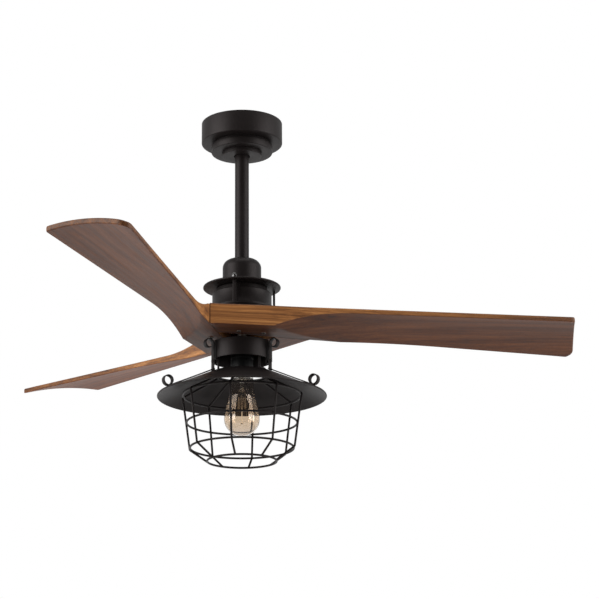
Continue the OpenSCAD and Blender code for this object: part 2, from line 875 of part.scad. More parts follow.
module bulb_base() {
  color("#c8b27a") difference() {
    union() {
      rod(base_r, base_top, base_bottom);
      for (i = [0:4]) translate([0, 0, -base_top - 4 - 4 * i])
        rotate_extrude($fn = fine) translate([base_r - 0.9, 0]) circle(r = 1.2, $fn = 24);
      rod(5, base_top - 1.4, base_top);
    }
    rod(base_r - 1, base_top + 2, base_bottom + 1);
  }
}

stem_bottom = 526;
button_drop = 590;

module bulb_stem() {
  color("#d8cfc0") turned([[0, 490], [10, 490], [10, 501], [5, 505], [3, stem_bottom - 6],
    [3.8, stem_bottom - 3], [2.4, stem_bottom], [1.2, stem_bottom + 1], [1.2, button_drop - 2],
    [2.2, button_drop - 1], [2.2, button_drop + 1], [0, button_drop + 1.6]], fine);
}

// Eight straight runs hang between an upper and a lower circle around the stem
module bulb_filament() {
  top = stem_bottom + 4;
  bottom = button_drop - 8;
  color("#c9742a") for (i = [0:7]) rotate([0, 0, 45 * i + 20])
    bar([6, 0, -top], [9.5, 0, -bottom], 0.25);
}

ceiling_plate();
hanger_cradle();
canopy_tabs();
canopy();
canopy_screws();
canopy_tier();
rod_collar();
receiver_box();
wire_connectors();
register_pins();
hanger_ball();
hanger_pin();
downrod();
supply_leads();
coupling_cover();
rod_yoke();
yoke_pin();
motor_shaft();
stator_core();
stator_windings();
flange_disc();
upper_straps();
cap_nuts();
motor_housing();
upper_bearing();
lower_bearing();
back_iron();
rotor_magnets();
blade_plate();
blade_right();
blade_back();
blade_left();
blade_screws();
lamp_housing();
shaft_nut();
shade_posts();
socket_spider();
lamp_socket();
lower_strap_right();
lower_strap_back();
lower_strap_left();
strap_screws();
shade();
shade_screws();
cage_clips();
cage_collar();
cage_ring_top();
cage_ring_upper();
cage_ring_lower();
cage_ring_base();
cage_spokes();
cage_uprights();
cage_struts();
bulb_base();
bulb_glass();
bulb_stem();
bulb_filament();
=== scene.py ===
import json
import math
import random

import bmesh
import bpy
from mathutils import Matrix, Vector


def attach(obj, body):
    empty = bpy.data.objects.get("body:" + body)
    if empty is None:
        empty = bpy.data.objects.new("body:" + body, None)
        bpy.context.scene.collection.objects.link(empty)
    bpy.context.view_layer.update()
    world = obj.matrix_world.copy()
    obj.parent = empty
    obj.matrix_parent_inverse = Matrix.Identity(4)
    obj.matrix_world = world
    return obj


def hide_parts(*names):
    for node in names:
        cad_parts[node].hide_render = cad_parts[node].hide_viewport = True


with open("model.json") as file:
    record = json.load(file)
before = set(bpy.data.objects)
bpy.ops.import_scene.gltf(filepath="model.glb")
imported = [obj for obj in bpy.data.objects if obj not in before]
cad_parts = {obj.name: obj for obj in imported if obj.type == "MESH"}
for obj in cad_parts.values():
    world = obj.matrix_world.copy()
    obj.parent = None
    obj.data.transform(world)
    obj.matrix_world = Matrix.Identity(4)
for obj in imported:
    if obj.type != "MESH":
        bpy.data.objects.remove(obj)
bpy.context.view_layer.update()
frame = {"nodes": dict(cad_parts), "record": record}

MM = 0.001
RING = 144          # segments round a turned part
WIRE_SEGS = 16      # segments round a wire
SLOT_OF = {s["node"]: s["material_slot"] for s in frame["record"]["subparts"]}

# Sizes in millimetres and turns in degrees, as in the CAD. A drop is a distance below the ceiling.
# BLADE_ANGLE is from +X towards +Y; the other turns are from -Y towards +X.
ROD_R = 13.35
SCREW_SHANK_R = 1.95
CANOPY_FLOOR, TIER_FLOOR = 41, 57.7
DISC_TOP, DISC_BOTTOM, PLATE_TOP = 327.7, 331.6, 373.5
HUB_TOP, HUB_BOTTOM = 391.0, 429.0
CAN_TOP = 437.6
BLADE_ANGLE = 9.1
STRAP_TURNS = (58.5, 178.5, 298.5)
POST_TURNS = (45.5, 165.5, 285.5)
CAP_TURNS = (-12.6, 107.4, 227.4)
WIRE_TURNS = [-11 + 45 * i for i in range(8)]
SCREW_SPOTS = ((-15, -57.5), (32, -50))
SHADE_TOP, SHADE_RIM, SHADE_R = 495.3, 541.0, 157.4


# ------------------------------------------------------------------ materials

def new_material(name):
    mat = bpy.data.materials.new(name)
    mat.use_nodes = True
    tree = mat.node_tree
    tree.nodes.clear()
    out = tree.nodes.new("ShaderNodeOutputMaterial")
    bsdf = tree.nodes.new("ShaderNodeBsdfPrincipled")
    tree.links.new(bsdf.outputs[0], out.inputs[0])
    return mat, tree, bsdf


def link(tree, a, b):
    tree.links.new(a, b)


def object_place(tree):
    """Object coordinates, in metres."""
    return tree.nodes.new("ShaderNodeTexCoord").outputs["Object"]


def parted(tree, vector):
    """The X, Y and Z of a vector."""
    split = tree.nodes.new("ShaderNodeSeparateXYZ")
    link(tree, vector, split.inputs[0])
    return split.outputs


def mapped(tree, vector, scale):
    m = tree.nodes.new("ShaderNodeMapping")
    m.inputs["Scale"].default_value = scale
    link(tree, vector, m.inputs["Vector"])
    return m.outputs[0]


def noise(tree, vector, detail=4.0, rough=0.55, warp=0.0):
    n = tree.nodes.new("ShaderNodeTexNoise")
    n.inputs["Scale"].default_value = 1.0
    n.inputs["Detail"].default_value = detail
    n.inputs["Roughness"].default_value = rough
    n.inputs["Distortion"].default_value = warp
    link(tree, vector, n.inputs["Vector"])
    return n.outputs[0]


def ramp(tree, value, stops):
    r = tree.nodes.new("ShaderNodeValToRGB")
    e = r.color_ramp.elements
    while len(e) < len(stops):
        e.new(0.5)
    for slot, (pos, col) in zip(e, stops):
        slot.position = pos
        slot.color = (*col, 1)
    link(tree, value, r.inputs[0])
    return r.outputs[0]


def remap(tree, value, lo, hi, from_lo=0.3, from_hi=0.7, kind="LINEAR"):
    """From from_lo..from_hi to lo..hi; a noise lies between the default limits."""
    m = tree.nodes.new("ShaderNodeMapRange")
    m.interpolation_type = kind
    m.inputs["From Min"].default_value = from_lo
    m.inputs["From Max"].default_value = from_hi
    m.inputs["To Min"].default_value = lo
    m.inputs["To Max"].default_value = hi
    link(tree, value, m.inputs["Value"])
    return m.outputs[0]


def maths(tree, operation, a, b):
    """A maths node on a socket and a socket or a number."""
    m = tree.nodes.new("ShaderNodeMath")
    m.operation = operation
    link(tree, a, m.inputs[0])
    if isinstance(b, float):
        m.inputs[1].default_value = b
    else:
        link(tree, b, m.inputs[1])
    return m.outputs[0]


def blended(tree, mode, factor, a, b):
    """Colour a changed towards b, which is a socket or a plain colour."""
    m = tree.nodes.new("ShaderNodeMix")
    m.data_type = "RGBA"
    m.blend_type = mode
    link(tree, factor, m.inputs["Factor"])
    link(tree, a, m.inputs[6])
    if isinstance(b, tuple):
        m.inputs[7].default_value = (*b, 1)
    else:
        link(tree, b, m.inputs[7])
    return m.outputs[2]


def bump(tree, bsdf, height, distance, strength=1.0, after=None):
    b = tree.nodes.new("ShaderNodeBump")
    b.inputs["Strength"].default_value = strength
    b.inputs["Distance"].default_value = distance
    link(tree, height, b.inputs["Height"])
    if after is not None:
        link(tree, after, b.inputs["Normal"])
    link(tree, b.outputs[0], bsdf.inputs["Normal"])
    return b.outputs[0]


def simple(name, dark, light, metallic, rough, scale=(300, 300, 300), depth=0.00001,
           specular=0.5, tint=(1.0, 1.0, 1.0)):
    """A finish whose colour, gloss and relief all vary with one fine noise and one broad noise."""
    mat, tree, bsdf = new_material(name)
    fine = noise(tree, mapped(tree, object_place(tree), scale))
    broad = noise(tree, mapped(tree, object_place(tree), (9, 9, 9)), 3)
    both = maths(tree, "ADD", maths(tree, "MULTIPLY", fine, 0.6),
                 maths(tree, "MULTIPLY", broad, 0.4))
    link(tree, ramp(tree, both, [(0.3, dark), (0.7, light)]), bsdf.inputs["Base Color"])
    link(tree, remap(tree, both, *rough), bsdf.inputs["Roughness"])
    bsdf.inputs["Metallic"].default_value = metallic
    bsdf.inputs["Specular IOR Level"].default_value = specular
    bsdf.inputs["Specular Tint"].default_value = (*tint, 1)
    bump(tree, bsdf, fine, depth)
    return mat


# colours along the grain's noise: of a blade's broad faces, and of wood cut at a slope
FACE_WOOD = [(0.33, (0.052, 0.0145, 0.0050)), (0.46, (0.115, 0.0355, 0.0125)),
             (0.55, (0.168, 0.056, 0.0205)), (0.68, (0.235, 0.084, 0.032))]
CUT_WOOD = [(0.37, (0.085, 0.028, 0.0075)), (0.46, (0.235, 0.088, 0.022)),
            (0.55, (0.390, 0.158, 0.042)), (0.65, (0.560, 0.250, 0.078))]
EDGE_SHADE = (0.46, 0.40, 0.34)         # what the cut wood is multiplied by near the tip
PORE_SHADE = (0.38, 0.33, 0.3)
JOINT_COLOUR = (0.008, 0.004, 0.002)


def wood(name, turn, shift, plank_and_light_tone):
    """Straight-grained dark wood for a blade turned from X: its plank's grain runs along X, and the
    hub is at shift in the plank, in metres."""
    mat, tree, bsdf = new_material(name)
    placing = tree.nodes.new("ShaderNodeMapping")
    placing.inputs["Location"].default_value = shift
    placing.inputs["Rotation"].default_value = (0, 0, -turn)
    link(tree, object_place(tree), placing.inputs["Vector"])
    plank = placing.outputs[0]

    wavy = tree.nodes.new("ShaderNodeVectorMath")
    wavy.operation = "MULTIPLY_ADD"
    wavy.inputs[1].default_value = (0.0, 0.05, 0.05)
    link(tree, noise(tree, mapped(tree, plank, (1.6, 9, 9)), 2), wavy.inputs[0])
    link(tree, plank, wavy.inputs[2])
    grain = wavy.outputs[0]
    bands = noise(tree, mapped(tree, grain, (1.5, 62, 62)), 3, 0.6, 0.3)
    lines = noise(tree, mapped(tree, grain, (5, 330, 330)), 5, 0.65, 0.2)
    pores = noise(tree, mapped(tree, grain, (26, 1500, 1500)), 2, 0.5)
    blend = tree.nodes.new("ShaderNodeMix")
    blend.data_type = "FLOAT"
    blend.inputs["Factor"].default_value = 0.5
    link(tree, bands, blend.inputs[2])
    link(tree, lines, blend.inputs[3])
    value = blend.outputs[0]
    # the face colours are scaled by the blade's tone, partly the plank's own and partly painted
    # light
    face = ramp(tree, value, [(at, tuple(plank_and_light_tone * c for c in colour)) for at, colour in FACE_WOOD])
    outward = remap(tree, parted(tree, plank)["X"], 0.0, 1.0, shift.x + 0.2, shift.x + 0.62)
    cut = blended(tree, "MULTIPLY", outward, ramp(tree, value, CUT_WOOD), EDGE_SHADE)
    geo = tree.nodes.new("ShaderNodeNewGeometry")
    flat = tree.nodes.new("ShaderNodeMath")
    flat.operation = "ABSOLUTE"
    link(tree, parted(tree, geo.outputs["Normal"])["Z"], flat.inputs[0])
    sloped = remap(tree, flat.outputs[0], 1.0, 0.0, 0.45, 0.8)
    colour = blended(tree, "MIX", sloped, face, cut)
    colour = blended(tree, "MULTIPLY", remap(tree, pores, 0.55, 0.0, 0.36, 0.47), colour,
                     PORE_SHADE)

    # the joint where this blade's root meets the next blade is a dark line
    across = (TRAIL_ROOT - LEAD_ROOT).normalized()
    into = Vector((-across.y, across.x, 0))
    if into.x < 0:
        into = -into
    root = into.dot(Vector((LEAD_ROOT.x * MM, LEAD_ROOT.y * MM, 0)) + shift)
    depth = tree.nodes.new("ShaderNodeVectorMath")
    depth.operation = "DOT_PRODUCT"
    depth.inputs[1].default_value = into
    link(tree, plank, depth.inputs[0])
    near = remap(tree, depth.outputs["Value"], 0.9, 0.0, root + 0.0006, root + 0.0022)
    link(tree, blended(tree, "MIX", near, colour, JOINT_COLOUR), bsdf.inputs["Base Color"])
    link(tree, remap(tree, lines, 0.44, 0.60), bsdf.inputs["Roughness"])
    bsdf.inputs["Specular IOR Level"].default_value = 0.34
    first = bump(tree, bsdf, lines, 0.00006)
    bump(tree, bsdf, pores, 0.00005, 1.0, first)
    return mat


def clear_glass(name, tints, z_range, rough, specular=0.5, ior=1.45):
    """Glass whose tint changes from the lower to the upper height of z_range, in metres."""
    mat, tree, bsdf = new_material(name)
    streak = noise(tree, mapped(tree, object_place(tree), (18, 18, 6)), 2)
    link(tree, remap(tree, streak, 0.0, rough), bsdf.inputs["Roughness"])
    height = remap(tree, parted(tree, object_place(tree))["Z"], 0.0, 1.0, *z_range)
    link(tree, ramp(tree, height, tints), bsdf.inputs["Base Color"])
    bsdf.inputs["Transmission Weight"].default_value = 1.0
    bsdf.inputs["IOR"].default_value = ior
    bsdf.inputs["Specular IOR Level"].default_value = specular
    bump(tree, bsdf, streak, 0.00003, 0.15)
    return mat


BLACK = (0.0074, 0.0058, 0.0056)
BLACK_LIGHT = (0.0128, 0.0102, 0.0099)
WARM = (1.0, 0.90, 0.89)
AMBER = [(0.0, (1.0, 0.91, 0.84)), (0.2, (1.0, 0.865, 0.71)), (0.45, (1.0, 0.88, 0.76)),
         (0.7, (1.0, 0.93, 0.86)), (1.0, (1.0, 0.985, 0.96))]
SMOKE = [(0.0, (0.95, 0.90, 0.80)), (1.0, (0.97, 0.96, 0.94))]
MATS = {
    "dark_metal": simple("dark_metal", BLACK, BLACK_LIGHT, 0.0, (0.40, 0.52),
                         (1100, 1100, 1100), 0.000012, 0.2, WARM),
    "dark_turned": simple("dark_turned", BLACK, BLACK_LIGHT, 0.0, (0.34, 0.52),
                          (16, 16, 1900), 0.000016, 0.2, WARM),
    "zinc_steel": simple("zinc_steel", (0.42, 0.42, 0.40), (0.62, 0.62, 0.6), 1.0, (0.28, 0.45)),
    "black_plastic": simple("black_plastic", (0.012, 0.012, 0.012), (0.03, 0.03, 0.03), 0.0,
                            (0.5, 0.65), (700, 700, 700), 0.00003),
    "nylon": simple("nylon", (0.62, 0.58, 0.47), (0.78, 0.74, 0.64), 0.0, (0.35, 0.5)),
    "lead_insulation": simple("lead_insulation", (0.34, 0.34, 0.32), (0.5, 0.5, 0.48), 0.0,
                              (0.4, 0.55)),
    "cast_alloy": simple("cast_alloy", (0.3, 0.3, 0.3), (0.48, 0.48, 0.48), 1.0, (0.45, 0.65),
                         (600, 600, 600), 0.00005),
    "laminations": simple("laminations", (0.2, 0.2, 0.21), (0.42, 0.42, 0.44), 1.0, (0.4, 0.6),
                          (20, 20, 2600), 0.00004),
    "copper_winding": simple("copper_winding", (0.42, 0.15, 0.06), (0.68, 0.28, 0.12), 1.0,
                             (0.25, 0.4), (30, 30, 1600), 0.0001),
    "bearing_steel": simple("bearing_steel", (0.55, 0.55, 0.56), (0.72, 0.72, 0.73), 1.0,
                            (0.12, 0.25)),
    "magnet": simple("magnet", (0.06, 0.06, 0.065), (0.12, 0.12, 0.13), 0.3, (0.4, 0.55)),
    "screw_steel": simple("screw_steel", (0.10, 0.085, 0.075), (0.20, 0.17, 0.15), 1.0,
                          (0.3, 0.45)),
    "phenolic": simple("phenolic", (0.003, 0.003, 0.003), (0.006, 0.006, 0.006), 0.0,
                       (0.36, 0.48), specular=0.16),
    "nut_gloss": simple("nut_gloss", (0.02, 0.018, 0.017), (0.04, 0.036, 0.034), 0.0,
                        (0.12, 0.2), specular=1.0),
    "lamp_cap": simple("lamp_cap", (0.52, 0.50, 0.46), (0.74, 0.72, 0.68), 1.0, (0.2, 0.36)),
    "amber_glass": clear_glass("amber_glass", AMBER, (-0.614, -0.505), 0.07, 0.9, 1.55),
    "stem_glass": clear_glass("stem_glass", SMOKE, (-0.59, -0.50), 0.12),
    "filament": simple("filament", (0.80, 0.62, 0.42), (0.95, 0.80, 0.60), 0.2, (0.3, 0.5)),
}


# ------------------------------------------------------------------ mesh helpers

def piece(name, verts, faces, slot, body, replaces=(), material=None, angle=50, weld=True):
    """A mesh piece from points in millimetres, with z up; edges sharper than angle stay sharp."""
    mesh = bpy.data.meshes.new(name)
    mesh.from_pydata([(x * MM, y * MM, z * MM) for x, y, z in verts], [], faces)
    bm = bmesh.new()
    bm.from_mesh(mesh)
    if weld:
        bmesh.ops.remove_doubles(bm, verts=bm.verts, dist=1e-7)
    bmesh.ops.recalc_face_normals(bm, faces=bm.faces)
    for edge in bm.edges:
        edge.smooth = len(edge.link_faces) == 2 and edge.calc_face_angle(0) < math.radians(angle)
    for face in bm.faces:
        face.smooth = True
    bm.to_mesh(mesh)
    bm.free()
    obj = bpy.data.objects.new(name, mesh)
    bpy.context.collection.objects.link(obj)
    mesh.materials.append(MATS[material or slot])
    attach(obj, body)
    if replaces:
        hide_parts(*replaces)


def merge(parts):
    """Several (verts, faces) as one."""
    verts, faces = [], []
    for v, f in parts:
        base = len(verts)
        verts += [tuple(p) for p in v]
        faces += [[i + base for i in face] for face in f]
    return verts, faces


def placed(part, matrix):
    verts, faces = part
    return [tuple(matrix @ Vector(v)) for v in verts], faces


def around(turn):
    """Turns +X to the direction of an angle from -Y towards +X."""
    return Matrix.Rotation(math.radians(turn - 90), 4, "Z")


UPSIDE_DOWN = Matrix.Rotation(math.pi, 4, "X")


def polar(r, degrees):
    a = math.radians(degrees)
    return r * math.cos(a), r * math.sin(a)


def filleted(points, steps):
    """A closed outline of (a, b[, radius]) with its corners rounded."""
    out = []
    count = len(points)
    for i, p in enumerate(points):
        here = Vector(p[:2])
        radius = p[2] if len(p) > 2 else 0
        before = Vector(points[i - 1][:2]) - here
        after = Vector(points[(i + 1) % count][:2]) - here
        if radius <= 0 or before.length < 1e-9 or after.length < 1e-9:
            out.append(tuple(here))
            continue
        a, b = before.normalized(), after.normalized()
        half = math.acos(max(-1, min(1, a.dot(b)))) / 2
        if abs(half - math.pi / 2) < 1e-3:
            out.append(tuple(here))
            continue
        cut = min(radius / math.tan(half), before.length * 0.49, after.length * 0.49)
        size = cut * math.tan(half)
        centre = here + (a + b).normalized() * size / math.sin(half)
        start, end = here + a * cut, here + b * cut
        t0 = math.atan2(start.y - centre.y, start.x - centre.x)
        t1 = math.atan2(end.y - centre.y, end.x - centre.x)
        swing = (t1 - t0 + math.pi) % (2 * math.pi) - math.pi
        for k in range(steps + 1):
            t = t0 + swing * k / steps
            out.append((centre.x + size * math.cos(t), centre.y + size * math.sin(t)))
    return out


def lathe(outline, segs):
    """A solid turned from a closed outline of (radius, drop)."""
    verts, faces = [], []
    n = len(outline)
    for k in range(segs):
        for r, drop in outline:
            verts.append((*polar(r, 360 * k / segs), -drop))
    for k in range(segs):
        k2 = (k + 1) % segs
        for i in range(n):
            j = (i + 1) % n
            a, b, c, d = k * n + i, k * n + j, k2 * n + j, k2 * n + i
            if outline[i][0] < 1e-6 and outline[j][0] < 1e-6:
                continue
            if outline[i][0] < 1e-6:
                faces.append([a, b, c])
            elif outline[j][0] < 1e-6:
                faces.append([a, b, d])
            else:
                faces.append([a, b, c, d])
    return verts, faces


def arc(r, drop, size, start, stop, steps):
    """Points of (radius, drop) on an arc, by angles above the horizontal."""
    angles = [math.radians(start + (stop - start) * k / steps) for k in range(steps + 1)]
    return [(r + size * math.cos(a), drop - size * math.sin(a)) for a in angles]


def circle_section(radius, n):
    return [polar(radius, 360 * k / n) for k in range(n)]


def bar_section(width, depth, corner):
    """A rounded rectangle, width by depth."""
    x, y = width / 2, depth / 2
    return filleted([(-x, -y, corner), (x, -y, corner), (x, y, corner), (-x, y, corner)], 3)


def sweep(path, section, closed=False, up=None):
    """A section carried along a path; up fixes the section's second axis."""
    pts = [Vector(p) for p in path]
    n, m = len(pts), len(section)
    tangents = []
    for i in range(n):
        a = pts[i - 1] if (i > 0 or closed) else pts[i]
        b = pts[(i + 1) % n] if (i < n - 1 or closed) else pts[i]
        tangents.append((b - a).normalized())
    if up is None:
        seed = Vector((0, 0, 1)) if abs(tangents[0].z) < 0.9 else Vector((1, 0, 0))
        side = tangents[0].cross(seed).normalized()
    verts = []
    for i, p in enumerate(pts):
        t = tangents[i]
        if up is None:
            side = (side - t * side.dot(t)).normalized()
            other = t.cross(side)
        else:
            other = Vector(up)
            side = other.cross(t).normalized()
        for a, b in section:
            verts.append(tuple(p + side * a + other * b))
    faces = []
    for i in range(n if closed else n - 1):
        i2 = (i + 1) % n
        for k in range(m):
            k2 = (k + 1) % m
            faces.append([i * m + k, i * m + k2, i2 * m + k2, i2 * m + k])
    if not closed:
        faces.append(list(range(m))[::-1])
        faces.append([(n - 1) * m + k for k in range(m)])
    return verts, faces


def rounded_path(points, radii, steps):
    """A polyline in space whose inner corners are turned into arcs."""
    out = [Vector(points[0])]
    for i in range(1, len(points) - 1):
        here = Vector(points[i])
        a, b = Vector(points[i - 1]) - here, Vector(points[i + 1]) - here
        la, lb = a.length, b.length
        a.normalize()
        b.normalize()
        half = math.acos(max(-1, min(1, a.dot(b)))) / 2
        cut = min(radii[i - 1] / math.tan(half), la * 0.45, lb * 0.45)
        size = cut * math.tan(half)
        centre = here + (a + b).normalized() * size / math.sin(half)
        u = (here + a * cut) - centre
        w = (here + b * cut) - centre
        total = math.acos(max(-1, min(1, u.dot(w) / (u.length * w.length))))
        for k in range(steps + 1):
            t = k / steps
            out.append(centre + (u * math.sin((1 - t) * total) + w * math.sin(t * total))
                       / math.sin(total))
    out.append(Vector(points[-1]))
    return out


def torus(r, drop, wire):
    path = [(*polar(r, 360 * k / RING), -drop) for k in range(RING)]
    return sweep(path, circle_section(wire, WIRE_SEGS), closed=True)


def ball(centre, radii):
    """An ellipsoid."""
    segs, rings = 14, 8
    verts, faces = [], []
    for j in range(rings + 1):
        phi = math.pi * j / rings
        for k in range(segs):
            a = 2 * math.pi * k / segs
            verts.append((centre[0] + radii[0] * math.sin(phi) * math.cos(a),
                          centre[1] + radii[1] * math.sin(phi) * math.sin(a),
                          centre[2] + radii[2] * math.cos(phi)))
    for j in range(rings):
        for k in range(segs):
            k2 = (k + 1) % segs
            faces.append([j * segs + k, (j + 1) * segs + k, (j + 1) * segs + k2, j * segs + k2])
    return verts, faces


def cross_head(radius, height):
    """A pan head with a cross recess; its seat is z = 0 and its crown is at +height."""
    arm, width, depth = 0.62, 0.17, 0.55        # the recess, as shares of radius and height
    segs = 96
    rings = [(0.0, lambda a: radius), (height * 0.45, lambda a: radius)]
    for t in (0.25, 0.5, 0.75, 1.0):
        rr = radius * (1 - 0.12 * t * t) - radius * 0.06 * t
        rings.append((height * (0.45 + 0.4 * t), lambda a, rr=rr: rr))
    rings.append((height * 0.97, lambda a: radius * 0.72))

    def star(scale):
        def rho(a):
            b = (a + math.pi / 4) % (math.pi / 2) - math.pi / 4
            return radius * scale * min(arm / math.cos(b), width / max(1e-6, abs(math.sin(b))))
        return rho
    rings.append((height, star(1.0)))
    rings.append((height * (1 - depth), star(0.62)))
    verts, faces = [(0, 0, 0)], []
    for z, rho in rings:
        for k in range(segs):
            a = 2 * math.pi * k / segs
            verts.append((rho(a) * math.cos(a), rho(a) * math.sin(a), z))
    verts.append((0, 0, height * (1 - depth * 1.25)))
    for k in range(segs):
        k2 = (k + 1) % segs
        faces.append([0, 1 + k2, 1 + k])
        for j in range(len(rings) - 1):
            b = 1 + j * segs
            faces.append([b + k, b + k2, b + segs + k2, b + segs + k])
        b = 1 + (len(rings) - 1) * segs
        faces.append([b + k, b + k2, len(verts) - 1])
    return verts, faces


def turned(name, node, body, outline, material=None, segs=RING):
    """A turned piece for one node, from an outline of (radius, drop[, fillet])."""
    piece(name, *lathe(filleted(outline, 6), segs), SLOT_OF[node], body, [node], material)


def rod(r, start, stop):
    """A plain round bar between two drops, on the axis."""
    return lathe([(0, start), (r, start), (r, stop), (0, stop)], 32)


# ------------------------------------------------------------------ camera, light, stage

def studio():
    data = bpy.data.cameras.new("camera")
    cam = bpy.data.objects.new("camera", data)
    bpy.context.collection.objects.link(cam)
    looks_up = 16.327                           # degrees
    cam.location = (0, -3.4276, -1.3559)
    cam.rotation_euler = (math.radians(90 + looks_up), 0, 0)
    data.lens = 114.22
    data.sensor_width = 36
    data.shift_x = 0.0961
    data.clip_end = 60
    bpy.context.scene.camera = cam

    def softbox(name, at, aim, width, height, power):
        lamp = bpy.data.lights.new(name, "AREA")
        lamp.shape = "RECTANGLE"
        lamp.size, lamp.size_y = width, height
        lamp.energy = power
        obj = bpy.data.objects.new(name, lamp)
        obj.location = at
        obj.rotation_euler = (Vector(aim) - Vector(at)).to_track_quat("-Z", "Y").to_euler()
        bpy.context.collection.objects.link(obj)

    softbox("soft_left", (-2.5, -1.08, 0.1), (0, 0, -0.35), 2.4, 2.4, 78)
    softbox("soft_right", (2.6, -0.98, 0.0), (0, 0, -0.35), 2.4, 2.4, 59)
    softbox("soft_top", (0.2, -0.6, 2.2), (0, 0, -0.3), 2.4, 1.6, 30)

    world = bpy.data.worlds.new("studio")
    bpy.context.scene.world = world
    world.use_nodes = True
    tree = world.node_tree
    tree.nodes.clear()
    out = tree.nodes.new("ShaderNodeOutputWorld")
    seen = tree.nodes.new("ShaderNodeBackground")
    seen.inputs["Color"].default_value = (1, 1, 1, 1)
    lit = tree.nodes.new("ShaderNodeBackground")
    coord = tree.nodes.new("ShaderNodeTexCoord")
    towards = parted(tree, coord.outputs["Generated"])
    # brighter behind the fan than in front, dark straight below, dimmer above
    back = remap(tree, towards["Y"], 0.10, 1.0, -0.75, 0.6, "SMOOTHSTEP")
    low = remap(tree, towards["Z"], 0.3, 1.35, -0.6, -0.35, "SMOOTHSTEP")
    high = remap(tree, towards["Z"], 1.0, 0.56, -0.1, 0.2, "SMOOTHSTEP")
    link(tree, maths(tree, "MULTIPLY", maths(tree, "MULTIPLY", back, low), high),
         lit.inputs["Strength"])
    choose = tree.nodes.new("ShaderNodeMixShader")
    ray = tree.nodes.new("ShaderNodeLightPath")
    link(tree, ray.outputs["Is Camera Ray"], choose.inputs[0])
    link(tree, lit.outputs[0], choose.inputs[1])
    link(tree, seen.outputs[0], choose.inputs[2])
    link(tree, choose.outputs[0], out.inputs[0])

    mat, tree, bsdf = new_material("floor_paint")
    speckle = noise(tree, mapped(tree, object_place(tree), (30, 30, 30)), 3)
    link(tree, ramp(tree, speckle, [(0.3, (0.80, 0.79, 0.78)), (0.7, (0.84, 0.83, 0.82))]),
         bsdf.inputs["Base Color"])
    bsdf.inputs["Roughness"].default_value = 0.7
    mesh = bpy.data.meshes.new("floor")
    half, z = 4.0, -2.3
    mesh.from_pydata([(-half, -half, z), (half, -half, z), (half, half, z), (-half, half, z)],
                     [], [[0, 1, 2, 3]])
    mesh.materials.append(mat)
    floor = bpy.data.objects.new("floor", mesh)
    bpy.context.collection.objects.link(floor)

    view = bpy.context.scene.view_settings
    view.view_transform = "Standard"
    view.look = "None"
    view.exposure = 0
    view.gamma = 1


# ------------------------------------------------------------------ ceiling mount

def ceiling_mount():
    turned("canopy_drum", "canopy", "ceiling_mount", [
        (38, CANOPY_FLOOR), (77.5, CANOPY_FLOOR, 1.8), (77.5, 0, 0.5), (76, 0, 0.3),
        (76, 39.5, 1), (38, 39.5)])
    turned("canopy_lower_tier", "canopy_tier", "ceiling_mount", [
        (37.8, 59.2, 0.3), (58.6, 59.2, 1.4), (58.6, 45.6, 1.4), (55, 45.6, 0.5),
        (55, CANOPY_FLOOR, 0.3), (53.5, CANOPY_FLOOR, 0.3), (53.5, 47.1, 0.5), (57.1, 47.1, 0.8),
        (57.1, TIER_FLOOR, 0.8), (37.8, TIER_FLOOR, 0.3)])
    turned("downrod_collar", "rod_collar", "ceiling_mount", [
        (15.5, 66.2, 0.5), (37.5, 66.2, 1.2), (37.5, TIER_FLOOR), (43, TIER_FLOOR), (43, 56.2),
        (35.5, 56.2), (35.5, 64.2), (15.5, 64.2, 0.4)])
    heads, shanks = [], []
    for x in (-46, 46):
        heads.append(placed(cross_head(4, 2.6), Matrix.Translation((x, 0, -CANOPY_FLOOR))
                            @ UPSIDE_DOWN @ Matrix.Rotation(0.5 + x, 4, "Z")))
        shanks.append(placed(rod(SCREW_SHANK_R, 0, 4), Matrix.Translation((x, 0, -37))))
    piece("canopy_cross_screws", *merge(heads + shanks), "zinc_steel", "ceiling_mount",
          ["canopy_screws"])


# ------------------------------------------------------------------ hanging parts

def hanging_tube():
    turned("rod_tube", "downrod", "hanging", [
        (10.85, 10, 0.4), (ROD_R, 10, 0.4), (ROD_R, 303, 0.4), (10.85, 303, 0.4)])
    outside = arc(20.4, 291, 16, 90, 0, 20)
    inside = arc(20.4, 291, 14.5, 0, 90, 20)
    turned("coupling_dome", "coupling_cover", "hanging", [
        (13.6, 271.8, 0.4), *outside, (36.4, 326.9, 0.5), (34.9, 326.9, 0.4), *inside,
        (13.6, 273.3, 0.3)])


# ------------------------------------------------------------------ rotor

def acorn_nut():
    """A hexagon and a dome, standing on z = 0."""
    hexa = filleted([(*polar(5.3, 60 * k), 0.5) for k in range(6)], 3)
    n = len(hexa)
    verts = [(x, y, 0) for x, y in hexa] + [(x, y, 4.2) for x, y in hexa]
    verts += [(x * 0.9, y * 0.9, 4.8) for x, y in hexa]
    faces = [list(range(n))[::-1]]
    for start in (0, n):
        faces += [[start + k, start + (k + 1) % n, start + n + (k + 1) % n, start + n + k]
                  for k in range(n)]
    faces.append([2 * n + k for k in range(n)])
    dome = [(4.5 * math.cos(math.radians(a)), -4.6 - 5.6 * math.sin(math.radians(a)))
            for a in range(0, 86, 7)]
    return (verts, faces), lathe([(0, -4.6), *dome, (0, -10.2)], 48)


